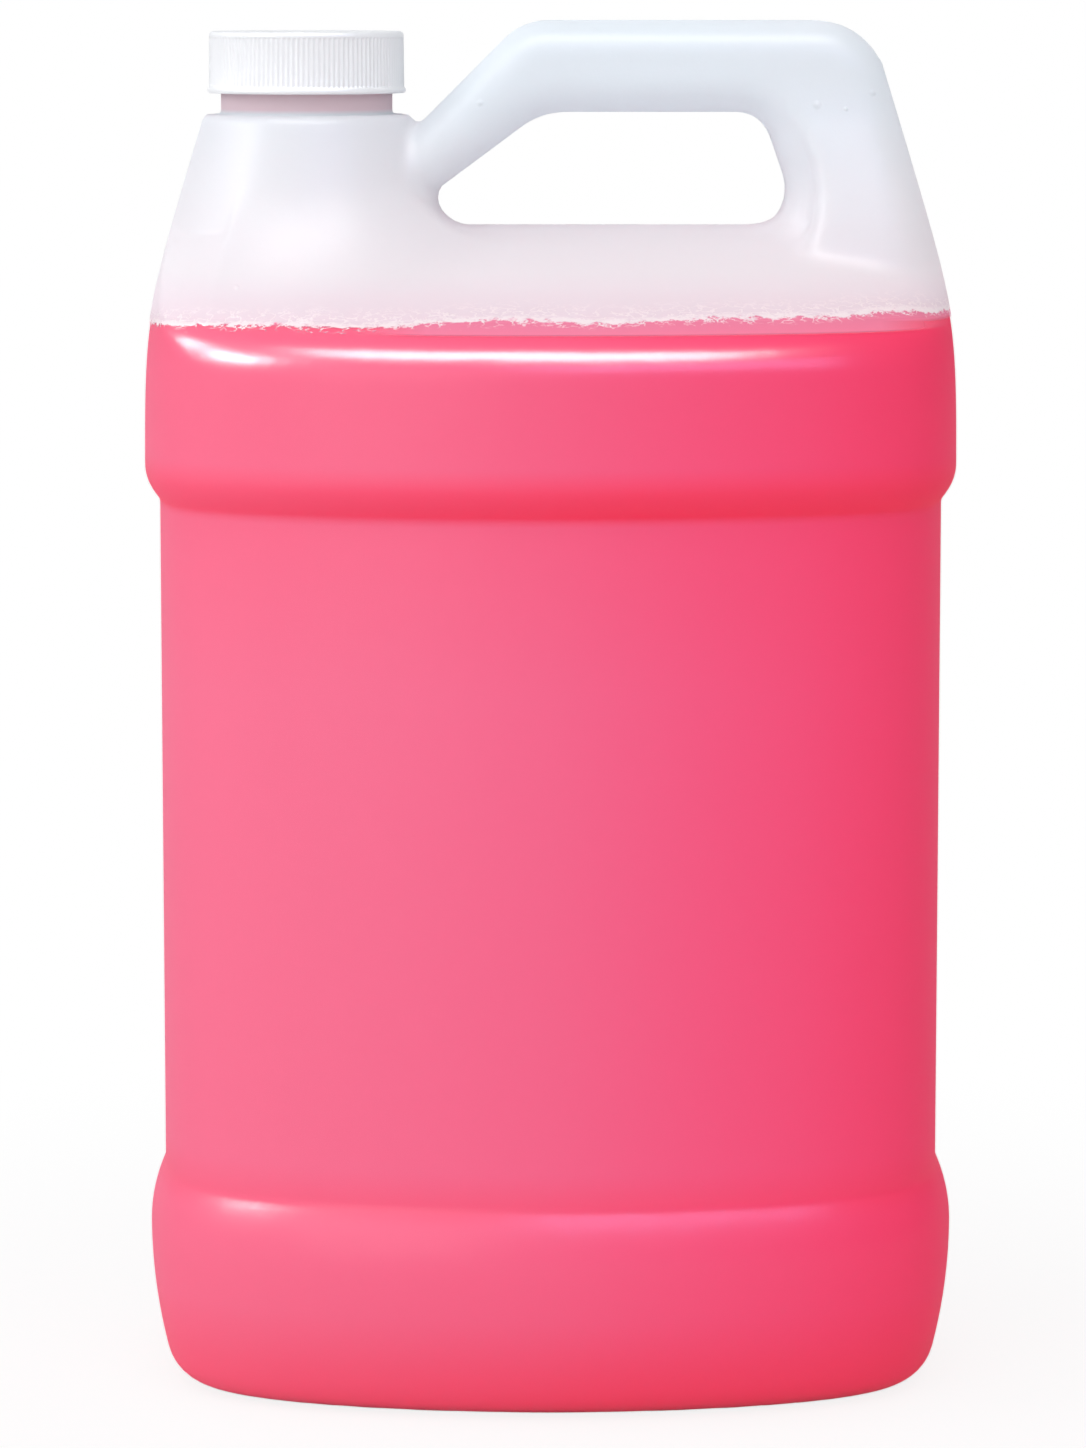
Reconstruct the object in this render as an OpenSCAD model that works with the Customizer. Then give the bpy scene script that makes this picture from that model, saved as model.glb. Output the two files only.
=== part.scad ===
// One-gallon glass cleaner jug: a blow-moulded bottle with a pinched-through
// grip, the cleaner inside it, and a ribbed screw cap with its foam liner.
// Front is -Y, the parting plane of the blow mould is Y = 0, the base stands on Z = 0.

/* [Body] */
// Width across the two bands
body_w = 171; // [150:1:190]
// Depth across the two bands
body_d = 130; // [110:0.5:140]
// How far the label panel sits in from the bands
panel_inset = 3.1; // [1.5:0.1:5]
// Squareness of the plan's corners: 2 is an ellipse, higher is squarer
corner_power = 8; // [5:0.25:10]
// Bow of the front and back, as a share of the half depth
front_bow = 0.27; // [0.1:0.01:0.4]
// Bow of the sides, as a share of the half width
side_bow = 0.1; // [0.02:0.01:0.2]
// Height of the lower band, up to the label panel
low_band_h = 45; // [30:1:60]
// Height of the label panel
panel_h = 141; // [90:1:170]
// Height of the upper band, up to where the shoulder turns in
up_band_h = 28; // [20:1:44]

/* [Base] */
// Radius of the rounding under the lower band
base_round = 5.5; // [4:0.5:12]
// How far the sides of the lower band draw in towards the base
band_barrel = 4.6; // [0:0.1:6]
// How many times further its front and back draw in
front_draw = 2.1; // [1:0.1:2.5]
// Height over which it draws in
barrel_h = 32; // [15:1:32]
// Width of the ring that the jug stands on
ring_w = 7; // [4:0.5:12]
// Height of the pushed-up middle of the base
push_up = 2.5; // [1:0.1:5]

/* [Ledges] */
// Height over which the lower band rounds in to the panel
low_ledge_h = 13; // [5:0.5:15]
// Height over which the upper band rounds in to the panel
up_ledge_h = 7; // [4:0.5:14]

/* [Shoulder] */
// Radius of the shoulder's front edge
shoulder_r = 9; // [5:0.5:14]
// Rise from the shoulder's edge to the floor of the grip hole
shoulder_rise = 28.5; // [22:0.5:38]
// Radius of the shoulder's crown, front to back under the grip hole
ridge_r = 55; // [9:1:70]
// Inward lean of the sides above the shoulder, in degrees
side_lean = 17.2; // [10:0.2:22]
// Height above the shoulder's edge where the lean sets in
lean_start = 9; // [5:0.5:14]
// Softness of the bend into the lean
lean_soft = 7; // [4:0.5:9]

/* [Neck] */
// Distance of the neck's axis from the outer face of the left side
neck_side = 34.5; // [30:0.5:42]
// Height of the neck's platform above the shoulder's edge
platform_h = 51.6; // [46:0.2:58]
// Radius of the platform around the neck
platform_r = 21.7; // [20.5:0.1:24]
// Radius of the neck's outside between its threads
finish_r = 17.5; // [16.8:0.1:18]
// Radius of the neck's plain collar under the threads
collar_r = 17.9; // [17.6:0.05:18.2]
// Height of the plain collar
collar_h = 4.4; // [3:0.2:4.6]
// Height of the neck above the platform
finish_h = 14.6; // [13:0.1:17]
// Radius of the mouth's bore
mouth_r = 15.9; // [13:0.1:16.2]
// Radius of the concave foot where the neck's cone meets the shoulder
cone_foot = 20; // [10:1:28]

/* [Thread] */
// Rise of the thread in one turn
pitch = 4.23; // [3.6:0.01:5]
// How far a thread stands out
thread_out = 1.15; // [0.8:0.05:1.2]
// Width of a thread at its root
thread_root_w = 2.1; // [1.5:0.05:2.2]
// Width of a thread at its crest
thread_crest_w = 1.1; // [0.6:0.05:1.2]
// Turns of thread on the neck
neck_turns = 1.1; // [0.8:0.05:1.2]
// Turns of thread in the cap
cap_turns = 1.1; // [0.8:0.05:1.2]
// Clearance between the crest of each thread and the wall it faces
thread_gap = 0.2; // [0.15:0.01:0.3]

/* [Grip] */
// Height of the grip hole
hole_h = 23.7; // [20:0.1:27]
// Left end of the grip hole, from the neck's axis
hole_neck = 26.9; // [26:0.1:29]
// Right end of the grip hole along its floor, from the outer face of the right side
hole_side = 32.5; // [29:0.5:40]
// Height of the handle's bar over the hole
bar_h = 18.9; // [15:0.1:23]
// Depth of the handle, front to back
handle_d = 27; // [22:0.5:32]
// Radius of the handle's long edges
handle_r = 8; // [5:0.5:9]
// Depth of the rear column where it stands on the shoulder
column_d = 46; // [34:1:60]

/* [Walls] */
// Wall of the blown jug
wall = 1; // [0.8:0.1:1.6]
// Gap drawn between the cleaner and the wall
fill_gap = 0.2; // [0.1:0.05:0.5]
// Height of the cleaner's surface over the shoulder's edge
fill_over = 11; // [-20:0.5:14]

/* [Cap] */
// Radius of the cap over its ribs
cap_r = 20.3; // [20:0.1:21]
// Radius of the plain bead around the cap's rim
bead_r = 20.7; // [20.6:0.05:22]
// Height of the bead
bead_h = 1.2; // [0.8:0.1:2]
// Height of the cap
cap_h = 12.8; // [12:0.1:13.4]
// Thickness of the cap's top
cap_top = 1.3; // [1:0.1:2]
// Bevel around the cap's top
cap_bevel = 0.8; // [0.4:0.1:1.2]
// Number of grooves around the cap
grooves = 120; // [60:2:130]
// Radius of a groove
groove_r = 0.34; // [0.2:0.02:0.4]
// Thickness of the foam liner
liner_h = 1; // [0.6:0.1:1.5]
// Free gap around the liner, and under the cap's top
liner_gap = 0.3; // [0.1:0.05:0.4]
// Gap between the liner and the neck's mouth
seal_gap = 0.05; // [0.02:0.01:0.2]

/* [Hidden] */

// Angles of the points on a quarter of the plan, closer together at the corner.
plan_angles = [0, 15, 28, 37, 43, 47, 53, 62, 75];
// Points round a corner of an outline, and round the neck.
corner_n = 4;
neck_n = 48;
eps = 0.01;

panel_z = low_band_h;
panel_top = panel_z + panel_h;
shoulder_z = panel_top + up_band_h;
ridge_z = shoulder_z + shoulder_rise;
platform_z = shoulder_z + platform_h;
mouth_z = platform_z + finish_h;
hole_top = ridge_z + hole_h;
top_z = hole_top + bar_h;
fill_z = shoulder_z + fill_over;

neck_off = body_w / 2 - neck_side;
hole_left = neck_off - hole_neck;
hole_right = body_w / 2 - hole_side;

// The jug's outline in plan and in profile.

function softplus(t, w) = w * ln(1 + exp(t / w));

// How far the sides have leaned in at height z.
function lean(z) = tan(side_lean) * softplus(z - shoulder_z - lean_start, lean_soft);

function side_x(z) = body_w / 2 - lean(z);

// How far the lower band has drawn in at height z.
function barrel(z) = band_barrel * pow(max(0, barrel_h - z) / barrel_h, 2);

// Slope of the shoulder: the line that touches its front edge and its ridge.
edge_y = body_d / 2 - shoulder_r;
ridge_rise = ridge_z - ridge_r - shoulder_z;
slope = atan2(ridge_rise, edge_y) + asin((ridge_r - shoulder_r) / norm([ridge_rise, edge_y]));

// Each level of the trunk is [height, half width, half depth]. The front is set in by b times more barrel.
function inset_level(z, d, b = 0) = [z, side_x(z) - d, body_d / 2 - d - (front_draw - 1) * b];

foot = base_round + barrel(0);
low_start = panel_z - low_ledge_h;

// The pushed-up base, whose wall is moved up and out by d.
function base_levels(d) = [
    inset_level(push_up + d, foot + ring_w + push_up - 0.4 * d, barrel(0)),
    inset_level(d, foot + ring_w - 0.4 * d, barrel(0)),
];

side_levels = [
    for (t = [0:30:90])
        let (z = base_round * (1 - cos(t)))
        inset_level(z, base_round * (1 - sin(t)) + barrel(z), barrel(z)),
    for (z = [base_round + 5, base_round + 13])
        inset_level(z, barrel(z), barrel(z)),
    for (k = [0:3])
        let (s = k / 3, z = low_start + s * low_ledge_h)
        inset_level(z, max(barrel(z), panel_inset * s * s)),
    for (k = [0:3])
        let (s = 1 - k / 3)
        inset_level(panel_top + (1 - s) * up_ledge_h, panel_inset * s * s),
];

roof_foot = [edge_y + shoulder_r * sin(slope), shoulder_z + shoulder_r * cos(slope)];
roof_head = [ridge_r * sin(slope), ridge_z - ridge_r * (1 - cos(slope))];
roof_levels = [
    for (t = [0:0.25:1])
        let (a = t * (90 - slope), z = shoulder_z + shoulder_r * sin(a))
        [z, side_x(z), edge_y + shoulder_r * cos(a)],
    for (t = [0.33, 0.67])
        let (p = roof_foot + t * (roof_head - roof_foot))
        [p[1], side_x(p[1]), p[0]],
    for (t = [slope, slope * 0.5, slope * 0.15])
        let (z = ridge_z - ridge_r * (1 - cos(t)))
        [z, side_x(z), ridge_r * sin(t)],
];

// Every level of the trunk, moved in by d: walls move sideways, the base up and the roof down.
function trunk_levels(d) = concat(
    base_levels(d),
    [for (v = side_levels) [v[0] + d * max(0, 1 - v[0] / low_start), v[1] - d, v[2] - d]],
    [for (v = roof_levels) [v[0] - d, v[1] - d, max(v[2] - d, 0.4)]]
);

// One ring of the plan: a rectangle with bowed sides and soft corners.
function plan_ring(level) = [
    for (turn = [0:90:270], t = plan_angles)
        let (
            c = cos(turn + t),
            s = sin(turn + t),
            n = pow(pow(abs(c), corner_power) + pow(abs(s), corner_power), 1 / corner_power)
        )
        [
            level[1] * c / n * (1 - side_bow * pow(s / n, 2)),
            level[2] * s / n * (1 - front_bow * pow(c / n, 2)),
            level[0],
        ]
];

// Solid skin over a stack of rings with the same number of points.
module skin(rings) {
    n = len(rings[0]);
    m = len(rings);
    polyhedron(
        points = [for (r = rings) each r],
        faces = [
            [for (k = [0:n - 1]) k],
            for (j = [0:m - 2], k = [0:n - 1])
                let (a = j * n + k, b = j * n + (k + 1) % n)
                each [[a, a + n, b], [b, a + n, b + n]],
            [for (k = [n - 1:-1:0]) (m - 1) * n + k],
        ],
        convexity = 6
    );
}

module trunk(d) {
    skin([for (v = trunk_levels(d)) plan_ring(v)]);
}

// Everything above the shoulder stays inside this leaning block.
module envelope(d) {
    skin([
        for (z = [ridge_z - 40:10:ridge_z + 40])
            plan_ring([z, side_x(z) - d, body_d / 2 - d])
    ]);
}

// The cone under the neck, with a concave foot that runs out over the shoulder.
function cone_r(z) = platform_r + tan(side_lean) * (platform_z - z);

module neck_cone(d) {
    foot_z = ridge_z - 3;
    steep = 90 - side_lean;
    flat = 46;
    arc = [
        for (k = [0:3])
            let (t = steep + (flat - steep) * k / 3)
            [
                cone_r(foot_z) + cone_foot * (sin(steep) - sin(t)) - d,
                foot_z - cone_foot * (cos(t) - cos(steep)) - d,
            ]
    ];
    end = arc[len(arc) - 1];
    intersection() {
        translate([-neck_off, 0, 0])
            rotate_extrude($fn = neck_n)
            polygon(concat(
                [[0, shoulder_z - 2], [end[0] + (end[1] - shoulder_z + 2) / tan(flat), shoulder_z - 2]],
                [for (k = [len(arc) - 1:-1:0]) arc[k]],
                [
                    [platform_r - 0.8 * tan(side_lean) - d, platform_z - 0.8 - d],
                    [platform_r - 0.8 - d, platform_z - d],
                    [0, platform_z - d],
                ]
            ));
        envelope(d + 0.4);
    }
}

// Outlines in the parting plane, clockwise from the front, as corners [x, z, radius].

// Points of one rounded corner, moved in by d.
function corner_arc(before, at, after, r, d) =
    let (
        u = (before - at) / norm(before - at),
        v = (after - at) / norm(after - at),
        half = acos(u * v) / 2,
        centre = at + (u + v) / norm(u + v) * r / sin(half),
        start = at + u * r / tan(half) - centre,
        from = atan2(start[1], start[0])
    )
    [for (j = [0:corner_n]) let (t = from - (180 - 2 * half) * j / corner_n) centre + (r - d) * [cos(t), sin(t)]];

function rounded(corners, d) =
    let (n = len(corners), at = [for (c = corners) [c[0], c[1]]])
    [for (k = [0:n - 1]) each corner_arc(at[(k + n - 1) % n], at[k], at[(k + 1) % n], corners[k][2], d)];

// Thin slice of an outline at depth y.
module slice(corners, d, y) {
    translate([0, y, 0])
        rotate([90, 0, 0])
        linear_extrude(eps)
        polygon(rounded(corners, d));
}

// Depths and insets of the slices that round the handle's long edges.
function round_steps(r) = [for (t = [0:22.5:90]) [r * sin(t), r * (1 - cos(t))]];

leg_x = cone_r(platform_z - 1) - neck_off + 1.4;
handle_outline = [
    [leg_x - 22, platform_z - 22, 8],
    [leg_x + top_z - platform_z, top_z, handle_r + 5],
    [side_x(top_z), top_z, handle_r + 7],
    [side_x(ridge_z - 12), ridge_z - 12, handle_r + 1],
    [leg_x - 22, ridge_z - 12, 8],
];
hole_outline = [
    [-hole_left, ridge_z, 5],
    [-hole_left, ridge_z + 7.2, 4],
    [-hole_left + 22.2, hole_top, 15],
    [hole_right - 8.8, hole_top, 6],
    [hole_right, ridge_z, 9.4],
];

// The hole through the grip, flared by the rounding of the handle around it.
module grip_hole(d) {
    flat = handle_d / 2 - handle_r;
    steps = round_steps(handle_r - d);
    for (side = [-1, 1]) {
        for (k = [0:len(steps) - 2])
            hull() {
                slice(hole_outline, -d - steps[k][1], side * (flat + steps[k][0]));
                slice(hole_outline, -d - steps[k + 1][1], side * (flat + steps[k + 1][0]));
            }
        hull() {
            slice(hole_outline, -handle_r - d, side * (flat + handle_r - d));
            slice(hole_outline, -handle_r - d, side * body_d);
        }
    }
    hull() {
        slice(hole_outline, -d, -flat);
        slice(hole_outline, -d, flat);
    }
}

// The slab that the handle, its leg and the rear column are pinched from.
module handle_slab(d) {
    flat = handle_d / 2 - handle_r;
    hull()
        for (side = [-1, 1], v = round_steps(handle_r - d))
            slice(handle_outline, d + v[1], side * (flat + v[0]));
}

// The rear column widens down to the shoulder.
module rear_column(d) {
    hull() {
        column_section(ridge_z - 24, column_d + 6, d);
        column_section(ridge_z - 2, column_d, d);
        column_section(ridge_z + 0.5 * hole_h, handle_d + 0.5 * (column_d - handle_d), d);
        column_section(hole_top + 8, handle_d - 3, d);
    }
}

module column_section(z, depth, d) {
    in = hole_right + 5 + d;
    out = side_x(z) - d;
    translate([(in + out) / 2, 0, z])
        scale([(out - in) / 2, depth / 2 - d, 1])
        cylinder(r = 1, h = eps, $fn = 32);
}

module handle(d) {
    difference() {
        handle_slab(d);
        grip_hole(d);
    }
    rear_column(d);
}

// A right-handed thread, buried a little in the wall it stands on and faded out at both ends.
// A negative reach makes an inside thread. Its middle passes height start_z at angle 0.
module thread(r, reach, start_z, from_turn, turns) {
    per_turn = 36;
    count = ceil(turns * per_turn);
    buried = reach > 0 ? -0.4 : 0.4;
    skin([
        for (k = [0:count])
            let (
                grown = min(1, k / 4, (count - k) / 4),
                crest = grown * reach + (1 - grown) * buried / 2,
                turn = from_turn + k / per_turn,
                z = start_z + pitch * turn,
                ring = [
                    [r + buried, z - thread_root_w / 2],
                    [r + buried, z + thread_root_w / 2],
                    [r + crest, z + thread_crest_w / 2],
                    [r + crest, z - thread_crest_w / 2],
                ],
                c = cos(360 * turn),
                s = sin(360 * turn)
            )
            [for (j = [0:3]) let (q = ring[reach > 0 ? j : 3 - j]) [q[0] * c, q[0] * s, q[1]]]
    ]);
}

// Height of the middle of the neck's thread where it starts. The cap's thread runs half a pitch under it.
thread_z = platform_z + 7.7;
cap_from = 0.15;

module neck() {
    translate([-neck_off, 0, 0]) {
        rotate_extrude($fn = neck_n)
            polygon([
                [mouth_r, platform_z - wall - 0.5],
                [mouth_r + 1, platform_z - wall - 0.5],
                [collar_r + 0.8, platform_z - wall / 2],
                [collar_r + 0.8, platform_z - 0.3],
                [collar_r, platform_z + 0.7],
                [collar_r, platform_z + collar_h],
                [finish_r, platform_z + collar_h + 0.4],
                [finish_r, mouth_z - 0.4],
                [finish_r - 0.4, mouth_z],
                [mouth_r, mouth_z],
            ]);
        thread(finish_r - 0.02, thread_out + 0.02, thread_z, 0, neck_turns);
    }
}

// The whole of the blown bottle under its neck, moved in by d.
module bottle(d) {
    trunk(d);
    neck_cone(d);
    handle(d);
}

module jug() {
    color([0.92, 0.92, 0.96]) {
        difference() {
            bottle(0);
            bottle(wall);
            translate([-neck_off, 0, platform_z - 5]) cylinder(r = mouth_r + 0.5, h = 10, $fn = neck_n);
        }
        neck();
    }
}

module cleaner_liquid() {
    inside = trunk_levels(wall + fill_gap);
    levels = [for (v = inside) if (v[0] < fill_z) v];
    last = levels[len(levels) - 1];
    next = inside[len(levels)];
    color([0.95, 0.36, 0.5])
        skin(concat(
            [for (v = levels) plan_ring(v)],
            [plan_ring(last + (next - last) * (fill_z - last[0]) / (next[0] - last[0]))]
        ));
}

// The cap hangs from its top, which rests on the liner and the neck's mouth.
liner_z = mouth_z + seal_gap;
cap_in = liner_z + liner_h + liner_gap;
cap_z = cap_in + cap_top - cap_h;
bore_r = finish_r + thread_out + thread_gap;

module screw_cap() {
    color([0.96, 0.96, 0.97])
        translate([-neck_off, 0, 0]) {
            difference() {
                rotate_extrude($fn = 96)
                    polygon([
                        [bore_r, cap_z],
                        [bead_r - 0.3, cap_z],
                        [bead_r, cap_z + 0.3],
                        [bead_r, cap_z + bead_h - 0.3],
                        [bead_r - 0.2, cap_z + bead_h],
                        [cap_r, cap_z + bead_h],
                        [cap_r, cap_z + cap_h - cap_bevel],
                        [cap_r - 0.3 * cap_bevel, cap_z + cap_h - 0.3 * cap_bevel],
                        [cap_r - cap_bevel, cap_z + cap_h],
                        [0, cap_z + cap_h],
                        [0, cap_in],
                        [bore_r, cap_in],
                    ]);
                for (k = [0:grooves - 1])
                    rotate([0, 0, 360 * k / grooves])
                        translate([cap_r + 0.08, 0, cap_z + bead_h + 0.1])
                        cylinder(r = groove_r, h = cap_h - bead_h - cap_bevel - 0.3, $fn = 16);
            }
            thread(bore_r + 0.02, -thread_out - 0.02, thread_z - pitch / 2, cap_from, cap_turns);
        }
}

module cap_liner() {
    color([0.98, 0.98, 0.96])
        translate([-neck_off, 0, liner_z])
        cylinder(r = bore_r - liner_gap, h = liner_h, $fn = 96);
}

jug();
cleaner_liquid();
screw_cap();
cap_liner();
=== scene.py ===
"""Looks of the glass cleaner jug: a milky blown bottle, pink cleaner and a ribbed white cap.

The bottle is an implicit surface in millimetres, from the same named sizes as the CAD, turned
into a mesh by surface nets and pulled on to the surface. Everything ends up in metres.
"""

import math

import bpy
import numpy as np
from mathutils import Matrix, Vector


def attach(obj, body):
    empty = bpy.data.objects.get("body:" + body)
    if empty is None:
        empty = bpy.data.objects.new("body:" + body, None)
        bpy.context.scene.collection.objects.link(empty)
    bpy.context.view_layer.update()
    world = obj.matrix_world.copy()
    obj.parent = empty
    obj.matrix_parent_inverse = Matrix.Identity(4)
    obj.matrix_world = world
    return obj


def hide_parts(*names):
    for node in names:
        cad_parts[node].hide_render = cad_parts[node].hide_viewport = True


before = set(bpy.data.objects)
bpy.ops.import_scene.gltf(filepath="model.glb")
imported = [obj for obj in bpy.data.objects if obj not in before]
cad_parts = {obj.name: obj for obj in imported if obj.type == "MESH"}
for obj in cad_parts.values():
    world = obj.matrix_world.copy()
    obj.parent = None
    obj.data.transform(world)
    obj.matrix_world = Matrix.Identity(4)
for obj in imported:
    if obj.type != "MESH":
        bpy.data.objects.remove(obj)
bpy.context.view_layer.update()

MM = 0.001

# Sizes in millimetres, most of them the CAD's. First the body's plan.
BODY_W = 171.0
BODY_D = 130.0
CORNER_POWER = 8.0
FRONT_BOW = 0.27
SIDE_BOW = 0.1

# The heights of the bands and the panel between them.
PANEL_Z = 45.0
PANEL_TOP = 186.0
SHOULDER_Z = 214.0
PANEL_INSET = 3.1
LOW_LEDGE = 13.0
UP_LEDGE = 7.0

# The foot: its round, the barrel shape over it, and the base pushed up within a ring.
BASE_ROUND = 5.5
BARREL = 4.6
BARREL_H = 32.0
FRONT_DRAW = 2.1
PUSH_UP = 2.5
PUSH_SLOPE = 3.0
RING_W = 7.0

# The roof, and the sides that lean in over the shoulder.
SHOULDER_R = 9.0
RIDGE_R = 55.0
RIDGE_Z = 242.5
LEAN = math.tan(math.radians(17.2))
LEAN_START = 9.0
LEAN_SOFT = 7.0

# The neck, on the platform of its cone.
NECK_X = -51.0
PLATFORM_Z = 265.6
PLATFORM_R = 21.7
PLATFORM_EDGE_R = 1.0
COLLAR_R = 17.9
FINISH_R = 17.5
MOUTH_R = 15.9
MOUTH_Z = 280.2

# The grip and its hole.
HOLE_LEFT = -24.1
HOLE_RIGHT = 53.0
HOLE_TOP = 266.2
TOP_Z = 285.1
HANDLE_D = 27.0
HANDLE_R = 7.5
LEG_X = -25.4

# The wall, the cleaner's level, and how far it lies in from the outside, the only skin drawn here.
WALL = 1.0
FILL_Z = 225.0
LIQUID_GAP = 0.3

# The cap.
CAP_Z = 270.05
CAP_H = 12.8
CAP_R = 20.3
BEAD_R = 20.7
BEAD_H = 1.2
BORE_R = 18.85
GROOVES = 120
GROOVE_DEPTH = 0.27
GROOVE_W = 0.72

# The screw thread of neck and cap.
THREAD_PITCH = 4.23
THREAD_TURNS = 1.1
THREAD_H = 1.17
THREAD_Z = PLATFORM_Z + 7.7
THREAD_ROOT_W = 2.1
THREAD_CREST_W = 1.1
THREAD_BURIED = 0.4

# Small marks that the blowing left on the front: across, up and radius.
BLOW_MARKS = [
    (-14.6, 268.2, 0.9),
    (55.0, 267.8, 1.1),
    (61.0, 267.0, 0.6),
    (66.6, 270.3, 0.9),
    (-64.0, 231.4, 0.7),
]

# How fine the meshes are: level steps, and the step up plain walls and over the shoulder.
STEP = 1.4
LIQUID_STEP = 2.2
WALL_STEP = 3.2
ROOF_STEP = 1.3
CREASE_STEP = 0.65
CREASE_SPREAD = 0.16
THREAD_STEPS = 96
RUN_OUT_STEPS = 10

# How far the grids reach: sideways, to front and back, and from low to high.
BOTTLE_GRID = (88, 67, -2.5, 288)
CLEANER_GRID = (86, 66, -1, 227)

# The camera in metres, with the photograph's focal length and height in pixels.
PHOTO_H = 1448
FOCAL_PX = 5673
CAMERA_AT = (-0.0016, -1.193, 0.294)
CAMERA_DOWN = 7.5


# Profile tables: how wide and how deep the body is at each height.


def lean(z):
    """How far the sides lean in at height z."""
    return LEAN * LEAN_SOFT * np.logaddexp(0, (z - SHOULDER_Z - LEAN_START) / LEAN_SOFT)


def barrel(z):
    """How far the lower band draws in towards the foot."""
    return BARREL * np.clip((BARREL_H - z) / BARREL_H, 0, 1) ** 2


def band_inset(z):
    """How far the wall sits in from the bands at height z, below the shoulder."""
    low = PANEL_INSET * np.clip((z - PANEL_Z + LOW_LEDGE) / LOW_LEDGE, 0, 1) ** 2
    up = PANEL_INSET * np.clip((PANEL_TOP + UP_LEDGE - z) / UP_LEDGE, 0, 1) ** 2
    side = np.where(z < (PANEL_Z + PANEL_TOP) / 2, np.maximum(barrel(z), low), up)
    t = np.clip((BASE_ROUND - z) / BASE_ROUND, 0, 1)
    return side + BASE_ROUND * (1 - np.sqrt(1 - np.minimum(t, 0.9995) ** 2))


# The creases are softened above the foot by a bell curve of SOFT_R.
TABLE_STEP = 0.25
SOFT_R = 0.5
SOFT_COUNT = 8
SOFT_Z = 14.0
table_z = np.arange(-3.0, 300.0, TABLE_STEP)
bell = np.exp(-0.5 * (np.arange(-SOFT_COUNT, SOFT_COUNT + 1) * TABLE_STEP / SOFT_R) ** 2)
bell /= bell.sum()
inset = band_inset(table_z)
softened = np.convolve(np.pad(inset, SOFT_COUNT, mode="edge"), bell, mode="valid")
inset = np.where(table_z < SOFT_Z, inset, softened)

# The roof from front to back: the shoulder's round, a straight slope and the ridge's round.
BEYOND = 60.0
edge_y = BODY_D / 2 - SHOULDER_R
rise = RIDGE_Z - RIDGE_R - SHOULDER_Z
slope = math.atan2(rise, edge_y) + math.asin((RIDGE_R - SHOULDER_R) / math.hypot(rise, edge_y))
roof = [(SHOULDER_Z + SHOULDER_R * math.sin(t), edge_y + SHOULDER_R * math.cos(t))
        for t in np.linspace(0, math.pi / 2 - slope, 12)]
roof += [(RIDGE_Z - RIDGE_R * (1 - math.cos(t)), RIDGE_R * math.sin(t))
         for t in np.linspace(slope, 0.03, 12)]
roof_z, roof_y = (np.array(v) for v in zip(*roof))
crown_y = np.concatenate([[0.0], roof_y[::-1], [BODY_D / 2 + BEYOND]])
crown_z = np.concatenate([[RIDGE_Z], roof_z[::-1], [SHOULDER_Z - 4 * BEYOND]])

width_t = BODY_W / 2 - inset - lean(table_z)
front_inset = inset + (FRONT_DRAW - 1) * barrel(table_z)
depth_t = np.where(table_z < SHOULDER_Z, BODY_D / 2 - front_inset, np.interp(table_z, roof_z, roof_y))

# One quarter of the plan, as shares of the half width and half depth.
turn = np.linspace(0, math.pi / 2, 721)
norm = (np.cos(turn) ** CORNER_POWER + np.sin(turn) ** CORNER_POWER) ** (1 / CORNER_POWER)
plan_u, plan_v = np.cos(turn) / norm, np.sin(turn) / norm
plan_x = plan_u * (1 - SIDE_BOW * plan_v ** 2)
plan_y = plan_v * (1 - FRONT_BOW * plan_u ** 2)
plan_turn, plan_reach = np.arctan2(plan_y, plan_x), np.hypot(plan_x, plan_y)


# Distance fields, in millimetres, negative inside.


def rounded_union(a, b, r):
    """Both forms, with a fillet of radius r between them."""
    return np.maximum(r, np.minimum(a, b)) - np.hypot(np.maximum(r - a, 0), np.maximum(r - b, 0))


def rounded_cut(a, b, r):
    """What both forms share, with its edge rounded by radius r."""
    return np.minimum(-r, np.maximum(a, b)) + np.hypot(np.maximum(r + a, 0), np.maximum(r + b, 0))


def plan_field(x, y, a, b):
    """Distance along the ray from the axis to the bowed plan of half sizes a and b."""
    p, q = np.abs(x) / a, np.abs(y) / b
    n = (np.hypot(p, q) + 1e-6) / np.interp(np.arctan2(q, p), plan_turn, plan_reach)
    return np.hypot(x, y) * (1 - 1 / n)


def oval_field(x, y, a, b, power):
    """Distance along the ray from the axis to a superellipse of half sizes a and b."""
    n = ((np.abs(x) / a) ** power + (np.abs(y) / b) ** power + 1e-9) ** (1 / power)
    return np.hypot(x, y) * (1 - 1 / n)


def true_distance(field, x, y, z, e=0.2):
    """A field divided by its slope, which is the distance near its surface."""
    f = field(x, y, z)
    gx = field(x + e, y, z) - f
    gy = field(x, y + e, z) - f
    gz = field(x, y, z + e) - f
    return f / np.maximum(np.sqrt(gx * gx + gy * gy + gz * gz) / e, 0.35)


def trunk_field(x, y, z):
    """The bands, the panel and the foot."""
    return plan_field(x, y, np.interp(z, table_z, width_t), np.interp(z, table_z, depth_t))


def side_field(x, y, z):
    """The leaning sides alone, which bound the whole bottle."""
    return plan_field(x, y, BODY_W / 2 - lean(z), BODY_D / 2)


def roof_field(x, y, z):
    """Height over the roof, whose front-to-back profile shrinks towards the sides."""
    room = np.interp(np.abs(x) / (BODY_W / 2 - lean(z)), plan_x[::-1], plan_y[::-1])
    return z - np.interp(np.abs(y) / np.maximum(room, 0.03), crown_y, crown_z)


def flat_distance(x, y, a, b, e=0.2):
    """Distance within the level plane to the bowed plan."""
    f = plan_field(x, y, a, b)
    gx = plan_field(x + e, y, a, b) - f
    gy = plan_field(x, y + e, a, b) - f
    return f / np.maximum(np.hypot(gx, gy) / e, 0.35)


# How far over the shoulder the walls are read, and where they go over into the roof.
WALL_REACH = 12.0
ROOF_START = 4.0
ROOF_BLEND = 6.0
# The roof goes over into the ends from this share of the half width on.
END_SHARE = 0.95
END_BLEND = 0.12


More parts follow.
